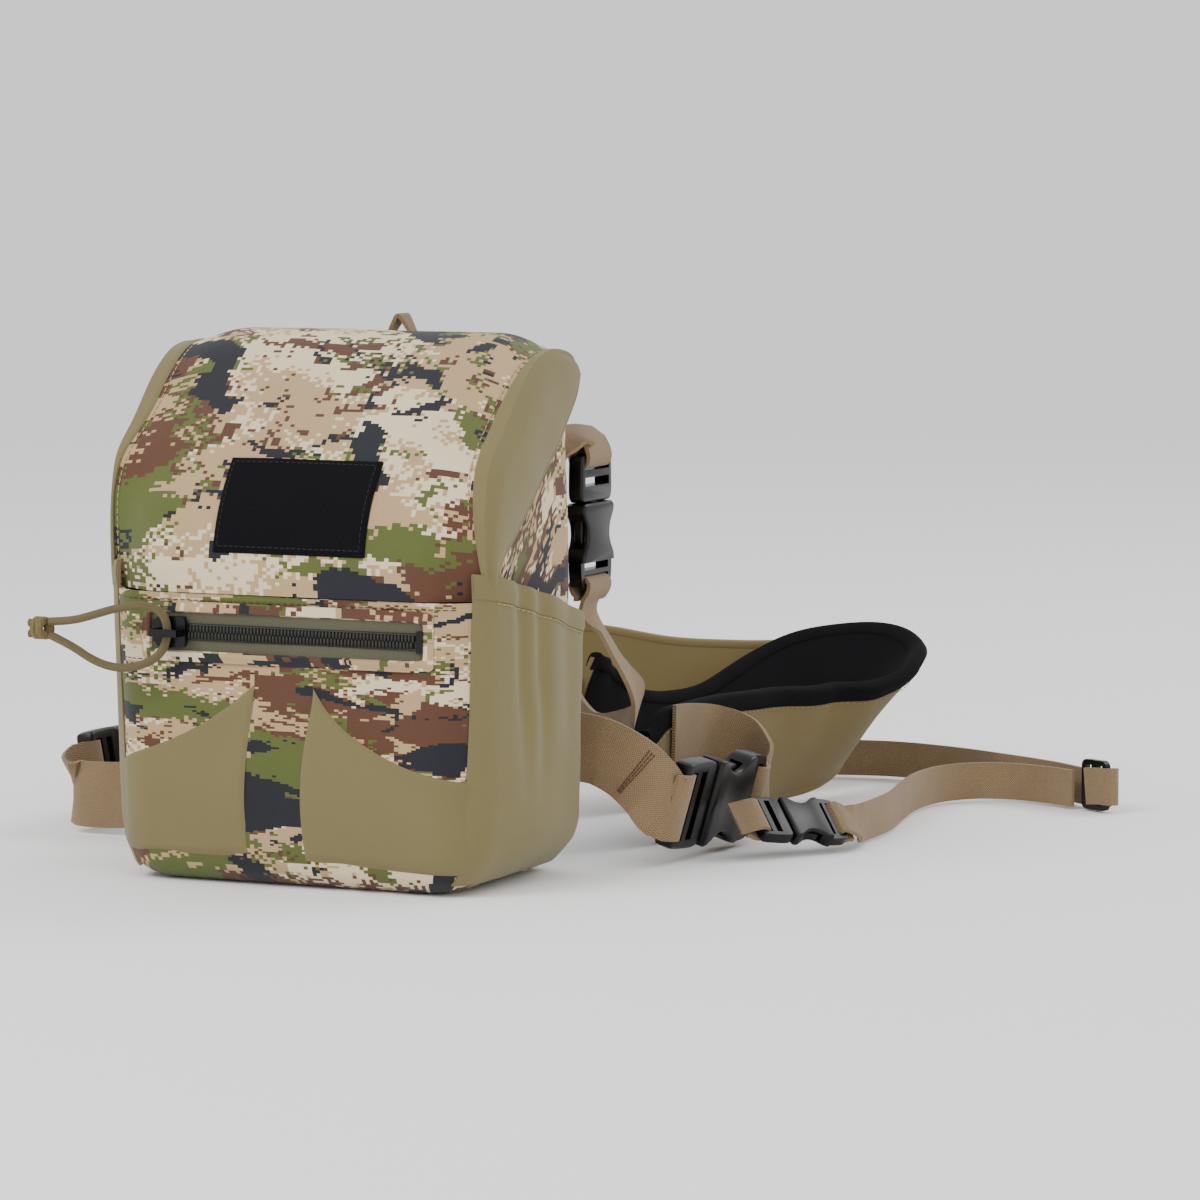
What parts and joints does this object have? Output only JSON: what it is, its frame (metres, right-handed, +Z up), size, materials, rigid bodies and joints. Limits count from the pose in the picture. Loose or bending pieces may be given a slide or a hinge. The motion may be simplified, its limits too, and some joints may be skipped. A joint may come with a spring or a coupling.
{
  "type": "binocular harness pack",
  "caption": "Chest pack for a binocular, with a forward-opening hood lid, zipped front pocket, side pockets and a padded shoulder harness on side release buckles.",
  "frame": {"origin": "centre of the pack's flat base, on the surface that it stands on", "axes": "+Z up from the base, the pack's front faces -Y, +X to the viewer's right when the front is viewed"},
  "size_m": [0.3509, 0.4216, 0.2],
  "materials": {
    "camo_fabric": "matt",
    "dark_fabric": "matt",
    "lining": "matt",
    "stretch_fabric": "matt",
    "pad_fabric": "matt",
    "webbing": "matt",
    "zip_tape": "matt",
    "zip_coil": "satin",
    "cord": "matt",
    "black_plastic": "satin",
    "magnet": "plain"
  },
  "bodies": {
    "pack": {"body_shell": "camo_fabric", "base_panel": "dark_fabric", "inner_liner": "lining", "back_panel": "dark_fabric", "front_panel": "camo_fabric", "front_dart_left": "stretch_fabric", "front_dart_right": "stretch_fabric", "zipper_tape": "zip_tape", "zipper_coils": "zip_coil", "zipper_stops": "black_plastic", "side_pocket_left": "stretch_fabric", "side_pocket_right": "stretch_fabric", "pocket_hems": "stretch_fabric", "body_magnets": "magnet", "upper_anchors": "webbing", "lower_anchor_right": "webbing", "lower_anchor_left": "webbing", "upper_strap_left": "webbing", "upper_strap_right": "webbing", "lower_webbing_left": "webbing", "lower_webbing_right": "webbing", "torso_tab": "webbing", "right_pad": "pad_fabric", "left_pad": "pad_fabric", "right_pad_lining": "lining", "left_pad_lining": "lining", "pad_bridge": "webbing", "torso_strap_near": "webbing", "torso_strap_far": "webbing", "triglide": "black_plastic", "upper_right_buckle_male": "black_plastic", "upper_left_buckle_male": "black_plastic", "lower_right_buckle_male": "black_plastic", "lower_left_buckle_male": "black_plastic", "torso_buckle_male": "black_plastic"},
    "lid": {"lid_shell": "camo_fabric", "lid_liner": "lining", "lid_wing_left": "stretch_fabric", "lid_wing_right": "stretch_fabric", "lid_patch": "dark_fabric", "lid_tab": "webbing", "lid_magnets": "magnet"},
    "slider": {"zipper_slider": "black_plastic"},
    "pull": {"pull_cord": "cord", "pull_knot": "cord"},
    "upper_right_socket": {"upper_right_buckle_female": "black_plastic"},
    "upper_right_prong_a": {"upper_right_buckle_prong_a": "black_plastic"},
    "upper_right_prong_b": {"upper_right_buckle_prong_b": "black_plastic"},
    "upper_left_socket": {"upper_left_buckle_female": "black_plastic"},
    "upper_left_prong_a": {"upper_left_buckle_prong_a": "black_plastic"},
    "upper_left_prong_b": {"upper_left_buckle_prong_b": "black_plastic"},
    "lower_right_socket": {"lower_right_buckle_female": "black_plastic"},
    "lower_right_prong_a": {"lower_right_buckle_prong_a": "black_plastic"},
    "lower_right_prong_b": {"lower_right_buckle_prong_b": "black_plastic"},
    "lower_left_socket": {"lower_left_buckle_female": "black_plastic"},
    "lower_left_prong_a": {"lower_left_buckle_prong_a": "black_plastic"},
    "lower_left_prong_b": {"lower_left_buckle_prong_b": "black_plastic"},
    "torso_socket": {"torso_buckle_female": "black_plastic"},
    "torso_prong_a": {"torso_buckle_prong_a": "black_plastic"},
    "torso_prong_b": {"torso_buckle_prong_b": "black_plastic"}
  },
  "joints": [
    {"name": "lid_hinge", "type": "hinge", "parent": "pack", "child": "lid", "pos_m": [0, -0.0475, 0.104], "axis": [1, 0, 0], "range_deg": [0, 90]},
    {"name": "slider_travel", "type": "slide", "parent": "pack", "child": "slider", "axis": [1, 0, 0], "range_m": [0, 0.089]},
    {"name": "pull_swing", "type": "hinge", "parent": "slider", "child": "pull", "pos_m": [-0.0435, -0.053, 0.09], "axis": [0, 0, 1], "range_deg": [0, 150]},
    {"name": "upper_right_release", "type": "slide", "parent": "pack", "child": "upper_right_socket", "axis": [0, 0, -1], "range_m": [0, 0.0173], "deforming": ["upper_strap_right"]},
    {"name": "upper_right_prong_a_squeeze", "type": "hinge", "parent": "pack", "child": "upper_right_prong_a", "pos_m": [0.068, 0.07222, 0.13128], "axis": [-1, 0, 0], "range_deg": [0, 5], "stiffness_Nm_per_rad": 0.05},
    {"name": "upper_right_prong_b_squeeze", "type": "hinge", "parent": "pack", "child": "upper_right_prong_b", "pos_m": [0.068, 0.05378, 0.13128], "axis": [1, 0, 0], "range_deg": [0, 5], "stiffness_Nm_per_rad": 0.05},
    {"name": "upper_left_release", "type": "slide", "parent": "pack", "child": "upper_left_socket", "axis": [0, 0, -1], "range_m": [0, 0.0173], "deforming": ["upper_strap_left"]},
    {"name": "upper_left_prong_a_squeeze", "type": "hinge", "parent": "pack", "child": "upper_left_prong_a", "pos_m": [-0.068, 0.07222, 0.13128], "axis": [-1, 0, 0], "range_deg": [0, 5], "stiffness_Nm_per_rad": 0.05},
    {"name": "upper_left_prong_b_squeeze", "type": "hinge", "parent": "pack", "child": "upper_left_prong_b", "pos_m": [-0.068, 0.05378, 0.13128], "axis": [1, 0, 0], "range_deg": [0, 5], "stiffness_Nm_per_rad": 0.05},
    {"name": "lower_right_release", "type": "slide", "parent": "pack", "child": "lower_right_socket", "axis": [0.0804, 0.9955, -0.0503], "range_m": [0, 0.0221], "deforming": ["lower_webbing_right"]},
    {"name": "lower_right_prong_a_squeeze", "type": "hinge", "parent": "pack", "child": "lower_right_prong_a", "pos_m": [0.10486, 0.08774, 0.03231], "axis": [-0.9616, 0.0908, 0.2588], "range_deg": [0, 5], "stiffness_Nm_per_rad": 0.05},
    {"name": "lower_right_prong_b_squeeze", "type": "hinge", "parent": "pack", "child": "lower_right_prong_b", "pos_m": [0.09869, 0.08709, 0.00959], "axis": [0.9616, -0.0908, -0.2588], "range_deg": [0, 5], "stiffness_Nm_per_rad": 0.05},
    {"name": "lower_left_release", "type": "slide", "parent": "pack", "child": "lower_left_socket", "axis": [0, 0.9998, -0.02], "range_m": [0, 0.0221], "deforming": ["lower_webbing_left"]},
    {"name": "lower_left_prong_a_squeeze", "type": "hinge", "parent": "pack", "child": "lower_left_prong_a", "pos_m": [-0.14536, 0.08915, 0.03132], "axis": [-0.9798, -0.004, -0.2], "range_deg": [0, 5], "stiffness_Nm_per_rad": 0.05},
    {"name": "lower_left_prong_b_squeeze", "type": "hinge", "parent": "pack", "child": "lower_left_prong_b", "pos_m": [-0.14064, 0.08869, 0.00825], "axis": [0.9798, 0.004, 0.2], "range_deg": [0, 5], "stiffness_Nm_per_rad": 0.05},
    {"name": "torso_release", "type": "slide", "parent": "pack", "child": "torso_socket", "axis": [0.5726, 0.8137, -0.1005], "range_m": [0, 0.0132], "deforming": ["torso_strap_near"]},
    {"name": "torso_prong_a_squeeze", "type": "hinge", "parent": "pack", "child": "torso_prong_a", "pos_m": [0.12216, 0.11192, 0.01694], "axis": [-0.5696, 0.3067, -0.7626], "range_deg": [0, 5], "stiffness_Nm_per_rad": 0.05},
    {"name": "torso_prong_b_squeeze", "type": "hinge", "parent": "pack", "child": "torso_prong_b", "pos_m": [0.13047, 0.10497, 0.00795], "axis": [0.5696, -0.3067, 0.7626], "range_deg": [0, 5], "stiffness_Nm_per_rad": 0.05}
  ],
  "couplings": [
    {"joint": "upper_right_prong_b_squeeze", "follows": "upper_right_prong_a_squeeze", "ratio": 1},
    {"joint": "upper_left_prong_b_squeeze", "follows": "upper_left_prong_a_squeeze", "ratio": 1},
    {"joint": "lower_right_prong_b_squeeze", "follows": "lower_right_prong_a_squeeze", "ratio": 1},
    {"joint": "lower_left_prong_b_squeeze", "follows": "lower_left_prong_a_squeeze", "ratio": 1},
    {"joint": "torso_prong_b_squeeze", "follows": "torso_prong_a_squeeze", "ratio": 1}
  ]
}
